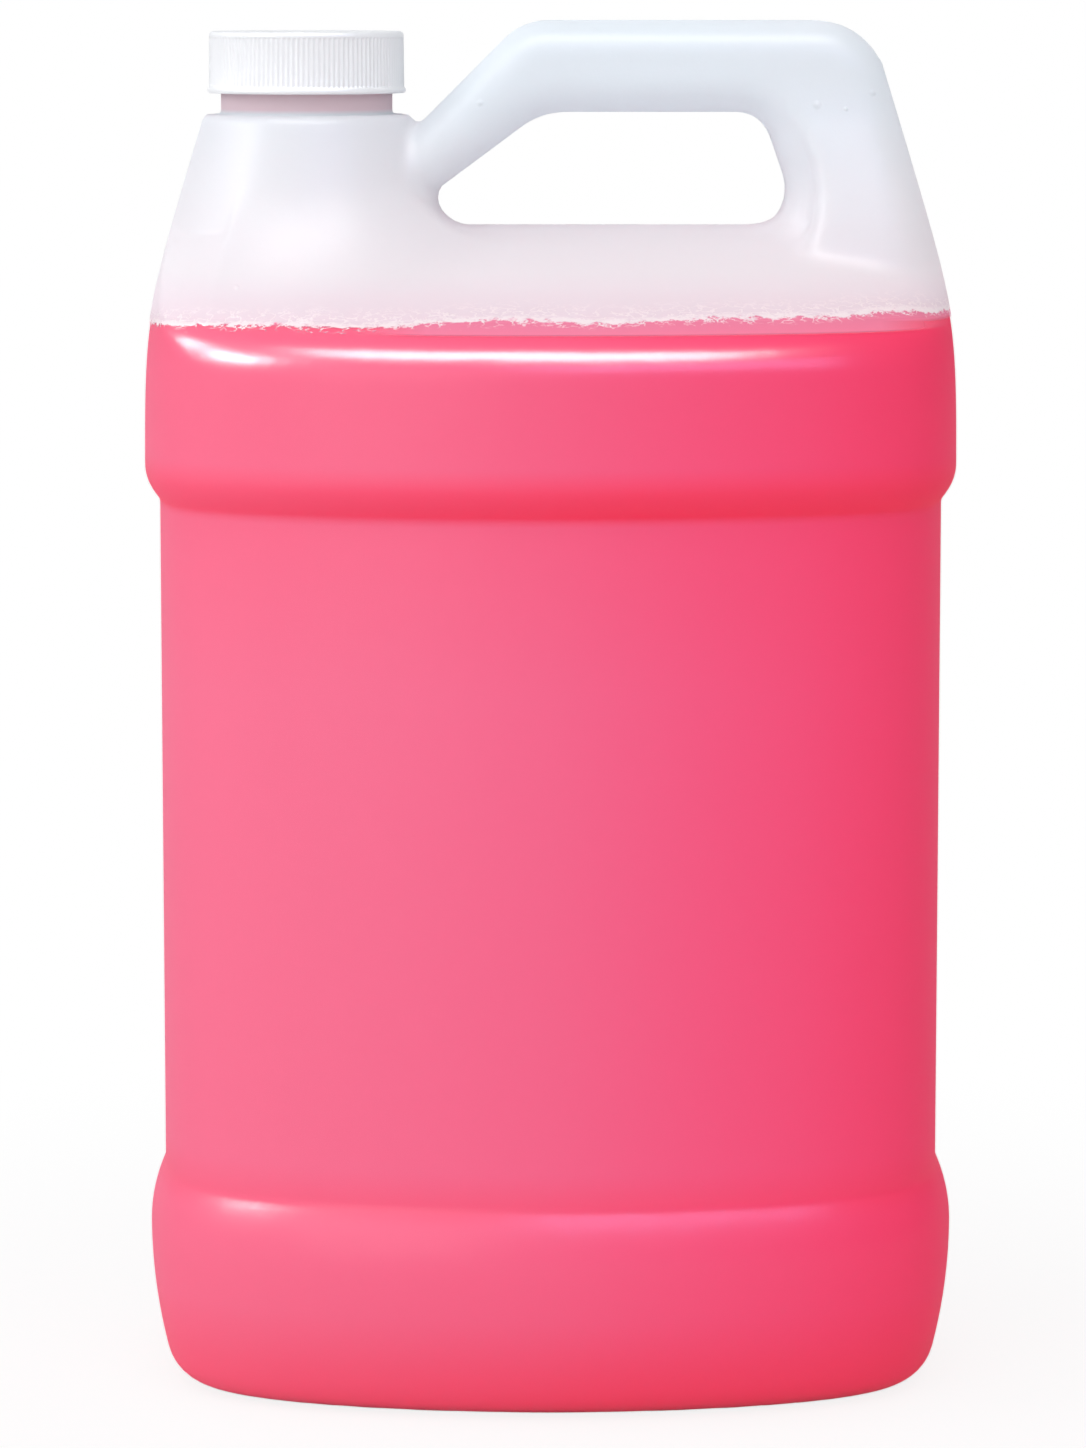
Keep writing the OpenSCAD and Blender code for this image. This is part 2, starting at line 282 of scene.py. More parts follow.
def trunk_distance(x, y, z):
    """The walls up to the shoulder and the roof over it, blended where they meet."""
    half = BODY_W / 2 - lean(z)
    low = np.minimum(z, SHOULDER_Z + WALL_REACH)
    walls = true_distance(trunk_field, x, y, low)
    ends = flat_distance(x, y, half, np.interp(np.minimum(z, RIDGE_Z - 0.4), table_z, depth_t))
    top = true_distance(roof_field, x, y, z)
    inward = np.clip((END_SHARE - np.abs(x) / half) / END_BLEND, 0, 1)
    upper = top * inward + np.maximum(ends, z - RIDGE_Z) * (1 - inward)
    share = np.clip((z - SHOULDER_Z - ROOF_START) / ROOF_BLEND, 0, 1)
    return walls * (1 - share) + upper * share


# The rear column's half depth and inner edge at each height.
COLUMN_Z = np.array([214.0, 226.0, 232.0, 238.0, 244.0, 250.0, 256.0, 262.0, 268.0, 274.0])
COLUMN_D = np.array([25.0, 23.6, 22.8, 21.9, 20.7, 19.2, 17.5, 15.7, 13.8, 12.2])
COLUMN_X = np.array([48.0, 48.5, 49.5, 52.0, 54.0, 54.6, 53.6, 51.0, 47.0, 42.0])
COLUMN_MID_Z = 245.0
COLUMN_HALF_H = 31.0
COLUMN_INNER_POWER = 8.0
COLUMN_OUTER_POWER = 2.6


def column_field(x, y, z):
    """The rear column, squarer on the side of the hole than at the back."""
    out = BODY_W / 2 - lean(z)
    inner = np.interp(z, COLUMN_Z, COLUMN_X)
    across = x - (out + inner) / 2
    power = np.where(across < 0, COLUMN_INNER_POWER, COLUMN_OUTER_POWER)
    return oval_field(across, y, (out - inner) / 2, np.interp(z, COLUMN_Z, COLUMN_D), power)


def corner_arcs(corners, steps=7):
    """Points of a clockwise outline of corners (x, z, radius)."""
    at = np.array([c[:2] for c in corners], float)
    points = []
    for k, (_, _, r) in enumerate(corners):
        u = at[k - 1] - at[k]
        v = at[(k + 1) % len(at)] - at[k]
        u, v = u / np.hypot(*u), v / np.hypot(*v)
        half = math.acos(float(u @ v)) / 2
        centre = at[k] + (u + v) / np.hypot(*(u + v)) * r / math.sin(half)
        start = at[k] + u * r / math.tan(half) - centre
        begin = math.atan2(start[1], start[0])
        for j in range(steps + 1):
            t = begin - (math.pi - 2 * half) * j / steps
            points.append(centre + r * np.array([math.cos(t), math.sin(t)]))
    return np.array(points)


MAP_X, MAP_Z, MAP_STEP = -62.0, 212.0, 0.5
map_x = MAP_X + MAP_STEP * np.arange(330)
map_z = MAP_Z + MAP_STEP * np.arange(180)


def outline_map(corners):
    """Signed distance to an outline in the parting plane, on a grid of x and z."""
    ring = corner_arcs(corners)
    px, pz = np.meshgrid(map_x, map_z, indexing="ij")
    best = np.full(px.shape, 1e9)
    inside = np.ones(px.shape, bool)
    for a, b in zip(ring, np.roll(ring, -1, axis=0)):
        d = b - a
        t = np.clip(((px - a[0]) * d[0] + (pz - a[1]) * d[1]) / (d @ d), 0, 1)
        best = np.minimum(best, np.hypot(px - a[0] - t * d[0], pz - a[1] - t * d[1]))
        inside &= (px - a[0]) * d[1] - (pz - a[1]) * d[0] > 0
    return np.where(inside, -best, best)


def read_map(grid, x, z):
    """The value of an outline map at x and z."""
    u = np.clip((x - MAP_X) / MAP_STEP, 0, grid.shape[0] - 1.001)
    v = np.clip((z - MAP_Z) / MAP_STEP, 0, grid.shape[1] - 1.001)
    i, j = u.astype(int), v.astype(int)
    i, j = np.broadcast_arrays(i, j)
    s, t = u - i, v - j
    return ((1 - s) * (1 - t) * grid[i, j] + s * (1 - t) * grid[i + 1, j]
            + (1 - s) * t * grid[i, j + 1] + s * t * grid[i + 1, j + 1])


def side_at(z):
    """The side's place at height z."""
    return float(BODY_W / 2 - lean(np.array(z)))


# Outlines in the parting plane, with corners of x, z and radius.
handle_map = outline_map([
    (LEG_X - 22, PLATFORM_Z - 22, 8),
    (LEG_X + TOP_Z - PLATFORM_Z, TOP_Z, 13),
    (side_at(TOP_Z), TOP_Z, 15),
    (side_at(RIDGE_Z - 12), RIDGE_Z - 12, 9),
    (LEG_X - 22, RIDGE_Z - 12, 8),
])
hole_map = outline_map([
    (HOLE_LEFT - 1.2, RIDGE_Z - 2, 4.5),
    (HOLE_LEFT - 1.2, RIDGE_Z + 6.4, 4),
    (HOLE_LEFT + 22.2, HOLE_TOP, 15),
    (HOLE_RIGHT - 8.8, HOLE_TOP, 8),
    (HOLE_RIGHT + 0.2, RIDGE_Z - 2, 9.4),
])


# Fillets between the cone, the body, the column and the grip. The cone's grows towards front and back.
CONE_FOOT_R = 5.0
CONE_FOOT_MORE = 10.0
CONE_FOOT_Y = 8.0
CONE_FOOT_SPREAD = 10.0
COLUMN_FILLET = 1.5
GRIP_FILLET = 2.6


def bottle(x, y, z):
    """Distance to the bottle's outside, negative inside."""
    trunk = trunk_distance(x, y, z)
    foot_w = BODY_W / 2 - BARREL - BASE_ROUND
    foot_d = BODY_D / 2 - FRONT_DRAW * BARREL - BASE_ROUND
    foot = flat_distance(x, y, foot_w, foot_d)
    floor_z = PUSH_UP * np.clip((-foot - RING_W) / PUSH_SLOPE, 0, 1)
    trunk = np.maximum(trunk, floor_z - z)
    cone_r = PLATFORM_R - LEAN * (z - PLATFORM_Z)
    cone = (np.hypot(x - NECK_X, y) - cone_r) / math.hypot(1, LEAN)
    cone = rounded_cut(cone, z - PLATFORM_Z, PLATFORM_EDGE_R)
    cone = np.maximum(cone, SHOULDER_Z - z)
    out_share = np.clip((np.abs(y) - CONE_FOOT_Y) / CONE_FOOT_SPREAD, 0, 1)
    cone_fillet = CONE_FOOT_R + CONE_FOOT_MORE * out_share
    body = rounded_union(trunk, cone, cone_fillet)
    across = np.maximum(read_map(handle_map, x, z), -read_map(hole_map, x, z)) + HANDLE_R
    through = np.abs(y) - HANDLE_D / 2 + HANDLE_R
    slab = np.hypot(np.maximum(across, 0), np.maximum(through, 0)) - HANDLE_R
    slab = slab + np.minimum(np.maximum(across, through), 0)
    column = np.maximum(true_distance(column_field, x, y, z), np.abs(z - COLUMN_MID_Z) - COLUMN_HALF_H)
    grip = rounded_union(slab, column, COLUMN_FILLET)
    shape = rounded_union(body, grip, GRIP_FILLET)
    return np.maximum(shape, true_distance(side_field, x, y, z))


# Meshes.


def surface_net(field, x, y, z):
    """Quads of the zero surface of a field over a grid, one corner in each crossed cell."""
    f = np.asarray(field(x[:, None, None], y[None, :, None], z[None, None, :]), np.float32)
    f = np.where(f == 0, np.float32(1e-4), f)
    cells = tuple(n - 1 for n in f.shape)
    total = np.zeros(cells + (3,), np.float32)
    count = np.zeros(cells, np.float32)
    crossings = []
    grid = np.stack(np.meshgrid(*(np.arange(n, dtype=np.float32) for n in f.shape), indexing="ij"), -1)
    for axis in range(3):
        a = [slice(None)] * 3
        b = [slice(None)] * 3
        a[axis], b[axis] = slice(None, -1), slice(1, None)
        f0, f1 = f[tuple(a)], f[tuple(b)]
        cross = (f0 < 0) != (f1 < 0)
        t = np.where(cross, f0 / np.where(cross, f0 - f1, 1), 0)
        point = grid[tuple(a)].copy()
        point[..., axis] += t
        point *= cross[..., None]
        others = [k for k in range(3) if k != axis]
        for du in (0, 1):
            for dv in (0, 1):
                s = [slice(None)] * 3
                s[others[0]] = slice(du, cells[others[0]] + du)
                s[others[1]] = slice(dv, cells[others[1]] + dv)
                total += point[tuple(s)]
                count += cross[tuple(s)]
        crossings.append((axis, others, cross, f0 < 0))
    used = count > 0
    index = np.full(cells, -1, np.int64)
    index[used] = np.arange(used.sum())
    place = total[used] / count[used][:, None]
    points = np.stack([np.interp(place[:, k], np.arange(len(v)), v) for k, v in enumerate((x, y, z))], 1)
    quads = []
    for axis, others, cross, inside in crossings:
        at = np.argwhere(cross)
        keep = np.ones(len(at), bool)
        for k in others:
            keep &= (at[:, k] > 0) & (at[:, k] < cells[k])
        at = at[keep]
        ring = []
        for du, dv in ((1, 1), (0, 1), (0, 0), (1, 0)):
            c = at.copy()
            c[:, others[0]] -= du
            c[:, others[1]] -= dv
            ring.append(index[tuple(c.T)])
        quad = np.stack(ring, 1)
        flip = inside[tuple(at.T)] == (axis == 1)
        quad[flip] = quad[flip][:, ::-1]
        quads.append(quad)
    return points, np.concatenate(quads)


def slope_of(field, p, e=0.15):
    """The field's slope at the points p."""
    g = []
    for k in range(3):
        step = np.zeros(3)
        step[k] = e
        g.append((field(*(p + step).T) - field(*(p - step).T)) / (2 * e))
    return np.stack(g, 1)


def settle(field, points, quads, rounds):
    """Evens out the corners along the surface and pulls them on to it."""
    for k in range(rounds):
        if k < rounds - 1:
            total = np.zeros_like(points)
            count = np.zeros(len(points))
            for a, b in ((0, 1), (1, 2), (2, 3), (3, 0)):
                for s, t in ((a, b), (b, a)):
                    np.add.at(total, quads[:, s], points[quads[:, t]])
                    np.add.at(count, quads[:, s], 1)
            points = 0.5 * points + 0.5 * total / count[:, None]
        for _ in range(2):
            g = slope_of(field, points)
            size = np.maximum((g * g).sum(1), 0.09)
            move = -field(*points.T)[:, None] * g / size[:, None]
            reach = np.maximum(np.abs(move).max(1) / 1.5, 1)
            points = points + move / reach[:, None]
    return points


def make_object(name, points, faces, material, smooth=True):
    """A mesh object in metres from points in millimetres."""
    mesh = bpy.data.meshes.new(name)
    mesh.from_pydata((np.asarray(points) * MM).tolist(), [], [list(map(int, f)) for f in faces])
    mesh.validate()
    if smooth:
        mesh.shade_smooth()
    obj = bpy.data.objects.new(name, mesh)
    bpy.context.scene.collection.objects.link(obj)
    obj.data.materials.append(material)
    return obj


def lathe(profile, turns, centre_x, radius_change=None):
    """Points and quads of a profile of (radius, z) turned about an upright axis."""
    angle = np.linspace(0, 2 * math.pi, turns, endpoint=False)
    points, faces = [], []
    for k, (r, z) in enumerate(profile):
        rr = np.full(turns, float(r)) if radius_change is None else r - radius_change(k, angle)
        level = np.full(turns, float(z))
        points.append(np.stack([centre_x + rr * np.cos(angle), rr * np.sin(angle), level], 1))
    for k in range(len(profile) - 1):
        for j in range(turns):
            n = (j + 1) % turns
            faces.append((k * turns + j, k * turns + n, (k + 1) * turns + n, (k + 1) * turns + j))
    return np.concatenate(points), faces


# Materials.


def new_material(name):
    """An empty node material with its output."""
    material = bpy.data.materials.new(name)
    material.use_nodes = True
    tree = material.node_tree
    tree.nodes.clear()
    out = tree.nodes.new("ShaderNodeOutputMaterial")
    return material, tree, out


def node(tree, kind, **values):
    """A node with its sockets or properties set by name."""
    n = tree.nodes.new(kind)
    for key, value in values.items():
        if key in n.inputs:
            n.inputs[key].default_value = value
        else:
            setattr(n, key, value)
    return n


def math_node(tree, operation, a, b=None, c=None):
    n = tree.nodes.new("ShaderNodeMath")
    n.operation = operation
    for k, v in enumerate((a, b, c)):
        if v is None:
            continue
        if isinstance(v, (int, float)):
            n.inputs[k].default_value = v
        else:
            tree.links.new(v, n.inputs[k])
    return n.outputs[0]


def ramp(tree, value, stops, blend="LINEAR"):
    n = tree.nodes.new("ShaderNodeValToRGB")
    n.color_ramp.interpolation = blend
    tree.links.new(value, n.inputs[0])
    elements = n.color_ramp.elements
    elements[0].position, elements[0].color = stops[0][0], (*stops[0][1], 1)
    elements[1].position, elements[1].color = stops[-1][0], (*stops[-1][1], 1)
    for position, colour in stops[1:-1]:
        elements.new(position).color = (*colour, 1)
    return n.outputs[0]


def map_range(tree, value, a, b, c=0.0, d=1.0, smooth=False):
    n = tree.nodes.new("ShaderNodeMapRange")
    if smooth:
        n.interpolation_type = "SMOOTHSTEP"
    tree.links.new(value, n.inputs[0])
    for k, v in enumerate((a, b, c, d)):
        n.inputs[k + 1].default_value = v
    return n.outputs[0]


def noise(tree, vector, scale, detail=2.0, rough=0.5):
    n = node(tree, "ShaderNodeTexNoise", Scale=scale, Detail=detail, Roughness=rough)
    tree.links.new(vector, n.inputs["Vector"])
    return n.outputs[0]


def mix_colour(tree, factor, a, b):
    n = tree.nodes.new("ShaderNodeMix")
    n.data_type = "RGBA"
    sockets = [s for s in n.inputs if s.type == "RGBA"]
    if isinstance(factor, float):
        n.inputs[0].default_value = factor
    else:
        tree.links.new(factor, n.inputs[0])
    for socket, v in zip(sockets, (a, b)):
        if isinstance(v, tuple):
            socket.default_value = (*v, 1)
        else:
            tree.links.new(v, socket)
    return [s for s in n.outputs if s.type == "RGBA"][0]


# The height where the wet part of the wall ends, on average.
LINE_Z = FILL_Z - 1.5


def wetted_wall(tree, coord, x, z):
    """Shares of wet wall, of froth and of the pale wedge of cleaner, along a ragged line."""
    stretch = node(tree, "ShaderNodeMapping", Scale=(1.0, 1.0, 2.2))
    tree.links.new(coord, stretch.inputs["Vector"])
    rag = noise(tree, stretch.outputs[0], 300.0, 5.0, 0.65)
    swell = noise(tree, coord, 22.0, 1.0, 0.5)
    waver = math_node(tree, "ADD", map_range(tree, rag, 0.3, 0.7, -0.0006, 0.0006),
                      map_range(tree, swell, 0.3, 0.7, -0.0008, 0.0008))
    level = math_node(tree, "ADD", z, waver)
    # The line climbs a little from left to right.
    arch = ramp(tree, map_range(tree, x, -0.08, 0.08), [
        (0.1, (0.0, 0.0, 0.0)),
        (0.29, (0.23, 0.23, 0.23)),
        (0.5, (0.48, 0.48, 0.48)),
        (0.84, (0.58, 0.58, 0.58)),
        (0.94, (0.76, 0.76, 0.76)),
        (1.0, (0.55, 0.55, 0.55)),
    ])
    level = math_node(tree, "SUBTRACT", level, math_node(tree, "MULTIPLY", arch, 0.0039))
    wet = map_range(tree, level, (LINE_Z + 0.15) * MM, (LINE_Z - 0.15) * MM)

    # Threads of froth around the line, and a brim right on it.
    fine = noise(tree, stretch.outputs[0], 330.0, 3.0, 0.55)
    thread = math_node(tree, "ABSOLUTE", math_node(tree, "SUBTRACT", fine, 0.5))
    thread = map_range(tree, thread, 0.035, 0.012)
    over = map_range(tree, level, (LINE_Z + 4.5) * MM, (LINE_Z + 0.8) * MM, smooth=True)
    under = map_range(tree, level, (LINE_Z - 1.2) * MM, (LINE_Z - 0.3) * MM)
    beaded = math_node(tree, "MULTIPLY", math_node(tree, "MULTIPLY", over, under), thread)
    off_line = math_node(tree, "ABSOLUTE", math_node(tree, "SUBTRACT", level, (LINE_Z + 0.45) * MM))
    brim = map_range(tree, off_line, 0.0007, 0.0002)
    brim = math_node(tree, "MULTIPLY", brim, map_range(tree, rag, 0.42, 0.52))
    froth = math_node(tree, "MAXIMUM", beaded, brim)

    # The wet wall is hazy from just under the level on: first in the middle, then all along.
    off_middle = math_node(tree, "ABSOLUTE", math_node(tree, "SUBTRACT", x, 0.021))
    middle = map_range(tree, off_middle, 0.062, 0.046)
    wedge = map_range(tree, z, (FILL_Z - 2.5) * MM, (FILL_Z - 1.8) * MM, smooth=True)
    wedge = math_node(tree, "MULTIPLY", wedge, middle)
    film = map_range(tree, z, (FILL_Z - 1.2) * MM, (FILL_Z - 0.2) * MM)
    return wet, froth, math_node(tree, "MAXIMUM", wedge, film)


def plastic_colour(tree, x, z, height, wet, froth, wedge):
    """Milky over the line with a painted pink glow of the cleaner just over it, a painted shadow on the neck
    under the cap, and pink where the wall is wet.
    """
    # Painted pink glow of the cleaner just over the line; a little darker and bluer higher up.
    milk_and_painted_light = ramp(tree, height, [
        (0.0, (0.95, 0.87, 0.94)),
        (0.15, (0.94, 0.95, 0.98)),
        (0.4, (0.92, 0.95, 0.98)),
        (0.7, (0.87, 0.92, 0.96)),
        (1.0, (0.87, 0.92, 0.96)),
    ])
    # Painted shadow on the neck under the cap.
    over_platform = map_range(tree, z, (PLATFORM_Z + 0.3) * MM, (PLATFORM_Z + 1.2) * MM)
    painted_cap_shadow = math_node(tree, "MULTIPLY", over_platform, map_range(tree, x, -0.031, -0.0325))
    milk_and_painted_light = mix_colour(tree, painted_cap_shadow, milk_and_painted_light, (0.90, 0.74, 0.79))
    haze = mix_colour(tree, wedge, (1.0, 0.40, 0.58), (0.97, 0.33, 0.52))
    colour = mix_colour(tree, wet, milk_and_painted_light, haze)
    return mix_colour(tree, froth, colour, (1.0, 0.96, 0.98))


def clear_share(tree, height, wet, froth, wedge):
    """How much of the wall is seen through: most of it where it is wet, little over the line."""
    wet_clear = map_range(tree, wedge, 0.0, 1.0, 0.965, 0.2)
    dry_clear = map_range(tree, height, 0.0, 0.5, 0.07, 0.04)
    dry = math_node(tree, "SUBTRACT", 1.0, wet)
    clear = math_node(tree, "ADD", math_node(tree, "MULTIPLY", wet, wet_clear),
                      math_node(tree, "MULTIPLY", dry, dry_clear))
    return math_node(tree, "MULTIPLY", clear, math_node(tree, "SUBTRACT", 1.0, froth))


def blow_mark(tree, x, y, z, mark):
    """The height of one small dome on the front."""
    mark_x, mark_z, mark_r = mark
    away = node(tree, "ShaderNodeCombineXYZ")
    tree.links.new(math_node(tree, "SUBTRACT", x, mark_x * MM), away.inputs[0])
    tree.links.new(math_node(tree, "SUBTRACT", z, mark_z * MM), away.inputs[2])
    reach = node(tree, "ShaderNodeVectorMath", operation="LENGTH")
    tree.links.new(away.outputs[0], reach.inputs[0])
    dome = map_range(tree, reach.outputs["Value"], mark_r * MM, 0.0, smooth=True)
    dome = math_node(tree, "MULTIPLY", dome, map_range(tree, y, -0.002, -0.004))
    return math_node(tree, "MULTIPLY", dome, 1.6)


def plastic_skin(tree, coord, x, y, z, froth):
    """A normal bent by fine grain, broad waves, the froth and the blow marks."""
    grain = noise(tree, coord, 1700.0, 3.0, 0.6)
    broad = noise(tree, coord, 90.0, 2.0, 0.5)
    skin = math_node(tree, "ADD", math_node(tree, "MULTIPLY", grain, 0.11), broad)
    skin = math_node(tree, "ADD", skin, math_node(tree, "MULTIPLY", froth, 0.5))
    for mark in BLOW_MARKS:
        skin = math_node(tree, "ADD", skin, blow_mark(tree, x, y, z, mark))
    bump = node(tree, "ShaderNodeBump", Strength=0.5, Distance=0.0003)
    tree.links.new(skin, bump.inputs["Height"])
    return bump.outputs[0]


def sheen_share(tree, height):
    """How much the outside reflects: more at a glancing view, less over the line."""
    facing = node(tree, "ShaderNodeLayerWeight", Blend=0.5).outputs["Facing"]
    backfacing = tree.nodes.new("ShaderNodeNewGeometry").outputs["Backfacing"]
    outside = math_node(tree, "SUBTRACT", 1.0, backfacing)
    sheen = math_node(tree, "MULTIPLY_ADD", math_node(tree, "POWER", facing, 5.0), 0.08, 0.04)
    sheen = math_node(tree, "MULTIPLY", sheen, map_range(tree, height, 0.0, 0.08, 1.0, 0.25))
    return math_node(tree, "MULTIPLY", sheen, outside)


def bottle_material():
    """Milky plastic, clear where the cleaner wets it, with froth along the cleaner's line."""
    material, tree, out = new_material("milky_plastic")
    link = tree.links.new
    coord = tree.nodes.new("ShaderNodeTexCoord").outputs["Object"]
    split = tree.nodes.new("ShaderNodeSeparateXYZ")
    link(coord, split.inputs[0])
    x, y, z = split.outputs["X"], split.outputs["Y"], split.outputs["Z"]
    height = map_range(tree, z, FILL_Z * MM, TOP_Z * MM)
    wet, froth, wedge = wetted_wall(tree, coord, x, z)
    colour = plastic_colour(tree, x, z, height, wet, froth, wedge)
    skin = plastic_skin(tree, coord, x, y, z, froth)

    diffuse = node(tree, "ShaderNodeBsdfDiffuse", Roughness=0.4)
    through = tree.nodes.new("ShaderNodeBsdfTranslucent")
    gloss = node(tree, "ShaderNodeBsdfGlossy")
    for n in (diffuse, through):
        link(colour, n.inputs["Color"])
    for n in (diffuse, through, gloss):
        link(skin, n.inputs["Normal"])
    link(map_range(tree, height, 0.0, 0.1, 0.27, 0.4), gloss.inputs["Roughness"])

    milky = node(tree, "ShaderNodeMixShader", Fac=0.22)
    link(diffuse.outputs[0], milky.inputs[1])
    link(through.outputs[0], milky.inputs[2])
    clear_part = tree.nodes.new("ShaderNodeBsdfTransparent")
    body = tree.nodes.new("ShaderNodeMixShader")
    link(clear_share(tree, height, wet, froth, wedge), body.inputs[0])
    link(milky.outputs[0], body.inputs[1])
    link(clear_part.outputs[0], body.inputs[2])
    surface = tree.nodes.new("ShaderNodeMixShader")
    link(sheen_share(tree, height), surface.inputs[0])
    link(body.outputs[0], surface.inputs[1])
    link(gloss.outputs[0], surface.inputs[2])
    link(surface.outputs[0], out.inputs[0])
    return material


def liquid_material():
    """Pink cleaner, with painted light and shade: paler to the left, redder to the right, and darker red
    under the ledges and round the foot.
    """
    material, tree, out = new_material("pink_cleaner")
    link = tree.links.new
    coord = tree.nodes.new("ShaderNodeTexCoord").outputs["Object"]
    split = tree.nodes.new("ShaderNodeSeparateXYZ")
    link(coord, split.inputs[0])
    across = map_range(tree, split.outputs["X"], -0.085, 0.085)
    # Painted light and shade: paler to the left, towards the lamps, and deeper red to the right, away from
    # them.
    colour = ramp(tree, across, [
        (0.0, (0.90, 0.165, 0.275)),
        (0.5, (0.91, 0.115, 0.255)),
        (0.8, (0.97, 0.05, 0.18)),
        (1.0, (0.98, 0.02, 0.11)),
    ], "B_SPLINE")
    # Painted shade: darkest red under the ledges and round the foot, a little over the upper band and the
    # shoulder, where the wall turns away from the light, and less of it on the left.
    painted_shade = ramp(tree, map_range(tree, split.outputs["Z"], 0.0, 0.25), [
        (0.0, (0.85, 0.85, 0.85)),
        (0.04, (0.6, 0.6, 0.6)),
        (0.09, (0.2, 0.2, 0.2)),
        (0.165, (0.15, 0.15, 0.15)),
        (0.181, (0.4, 0.4, 0.4)),
        (0.21, (0.05, 0.05, 0.05)),
        (0.6, (0.0, 0.0, 0.0)),
        (0.741, (0.2, 0.2, 0.2)),
        (0.7445, (1.0, 1.0, 1.0)),
        (0.765, (0.8, 0.8, 0.8)),
        (0.785, (0.2, 0.2, 0.2)),
        (0.86, (0.2, 0.2, 0.2)),
        (0.885, (0.3, 0.3, 0.3)),
    ])
    painted_shade = math_node(tree, "MULTIPLY", painted_shade, map_range(tree, across, 0.0, 0.6, 0.6, 1.0))
    colour = mix_colour(tree, painted_shade, colour, (0.97, 0.015, 0.075))
    shader = node(tree, "ShaderNodeBsdfPrincipled", Roughness=0.6)
    shader.inputs["Specular IOR Level"].default_value = 0.0
    link(colour, shader.inputs["Base Color"])
    link(shader.outputs[0], out.inputs[0])
    return material


def cap_material():
    """White moulded plastic."""
    material, tree, out = new_material("white_cap")
    link = tree.links.new
    coord = tree.nodes.new("ShaderNodeTexCoord").outputs["Object"]
    grain = noise(tree, coord, 1500.0, 2.0, 0.5)
    bump = node(tree, "ShaderNodeBump", Strength=0.08, Distance=0.0003)
    link(grain, bump.inputs["Height"])
    shader = node(tree, "ShaderNodeBsdfPrincipled", Roughness=0.38)
    tone = mix_colour(tree, noise(tree, coord, 60.0), (0.80, 0.81, 0.83), (0.83, 0.84, 0.86))
    link(tone, shader.inputs["Base Color"])
    link(bump.outputs[0], shader.inputs["Normal"])
    link(shader.outputs[0], out.inputs[0])
    return material


def foam_material():
    """Pale foam of fine cells."""
    material, tree, out = new_material("liner_foam")
    link = tree.links.new
    coord = tree.nodes.new("ShaderNodeTexCoord").outputs["Object"]
    cells = node(tree, "ShaderNodeTexVoronoi", Scale=3000.0)
    link(coord, cells.inputs["Vector"])
    bump = node(tree, "ShaderNodeBump", Strength=0.3, Distance=0.0002)
    link(cells.outputs[0], bump.inputs["Height"])
    shader = node(tree, "ShaderNodeBsdfPrincipled", Roughness=0.8)
    tone = mix_colour(tree, cells.outputs[0], (0.93, 0.93, 0.9), (0.85, 0.85, 0.82))
    link(tone, shader.inputs["Base Color"])
    link(bump.outputs[0], shader.inputs["Normal"])
    link(shader.outputs[0], out.inputs[0])
    return material


plastic = bottle_material()
pink = liquid_material()
white = cap_material()
foam = foam_material()


# The bottle.

# Heights with close rows: the foot and both ledges. The roof's rows start a little under the shoulder.
CREASES = (2, PANEL_Z, PANEL_Z - LOW_LEDGE, PANEL_TOP, PANEL_TOP + UP_LEDGE)
ROOF_ROWS_Z = SHOULDER_Z - 4


def level_steps(reach, step):
    """Places from -reach to just past reach."""
    return np.arange(-reach, reach + 1, step)


def spaced_heights(low, high):
    """Heights that lie close together at the creases and far apart along the plain walls."""
    heights = [low]
    while heights[-1] < high:
        z = heights[-1]
        near = min(abs(z - crease) for crease in CREASES)
        plain = ROOF_STEP if z > ROOF_ROWS_Z else WALL_STEP
        heights.append(z + min(plain, CREASE_STEP + near * CREASE_SPREAD))
    return np.array(heights)


def settled_net(field, grid, step, rounds):
    """The mesh of a field over a grid, pulled on to its surface."""
    reach_x, reach_y, low, high = grid
    points, quads = surface_net(field, level_steps(reach_x, step), level_steps(reach_y, step),
                                spaced_heights(low, high))
    return settle(field, points, quads, rounds), quads


# The body's mesh, without the disc that would close the mouth.
points, quads = settled_net(bottle, BOTTLE_GRID, STEP, 3)
mouth = (np.hypot(points[:, 0] - NECK_X, points[:, 1]) < MOUTH_R + 0.8) & (points[:, 2] > PLATFORM_Z - 1)
quads = quads[~mouth[quads].any(1)]


def thread_points(r, reach, start_z, from_turn):
    """A swept thread, as the CAD's, as points and quads."""
    count = math.ceil(THREAD_TURNS * THREAD_STEPS)
    points, faces = [], []
    buried = -THREAD_BURIED if reach > 0 else THREAD_BURIED
    for k in range(count + 1):
        grown = min(1, k / RUN_OUT_STEPS, (count - k) / RUN_OUT_STEPS)
        crest = grown * reach + (1 - grown) * buried / 2
        turn = from_turn + k / THREAD_STEPS
        z = start_z + THREAD_PITCH * turn
        ring = [(r + buried, z - THREAD_ROOT_W / 2), (r + buried, z + THREAD_ROOT_W / 2),
                (r + crest, z + THREAD_CREST_W / 2), (r + crest, z - THREAD_CREST_W / 2)]
        if reach < 0:
            ring.reverse()
        a = 2 * math.pi * turn
        points += [(NECK_X + q * math.cos(a), q * math.sin(a), h) for q, h in ring]
    for k in range(count):
        for j in range(4):
            n = (j + 1) % 4
            faces.append((4 * k + j, 4 * k + 4 + j, 4 * k + 4 + n, 4 * k + n))
    faces.append((0, 1, 2, 3))
    faces.append((4 * count + 3, 4 * count + 2, 4 * count + 1, 4 * count))
    return np.array(points), faces


def join(parts):
    """One list of points and one of faces from several meshes."""
    points, faces, base = [], [], 0
    for p, f in parts:
        points.append(np.asarray(p))
        faces += [tuple(int(i) + base for i in face) for face in f]
        base += len(p)
    return np.concatenate(points), faces


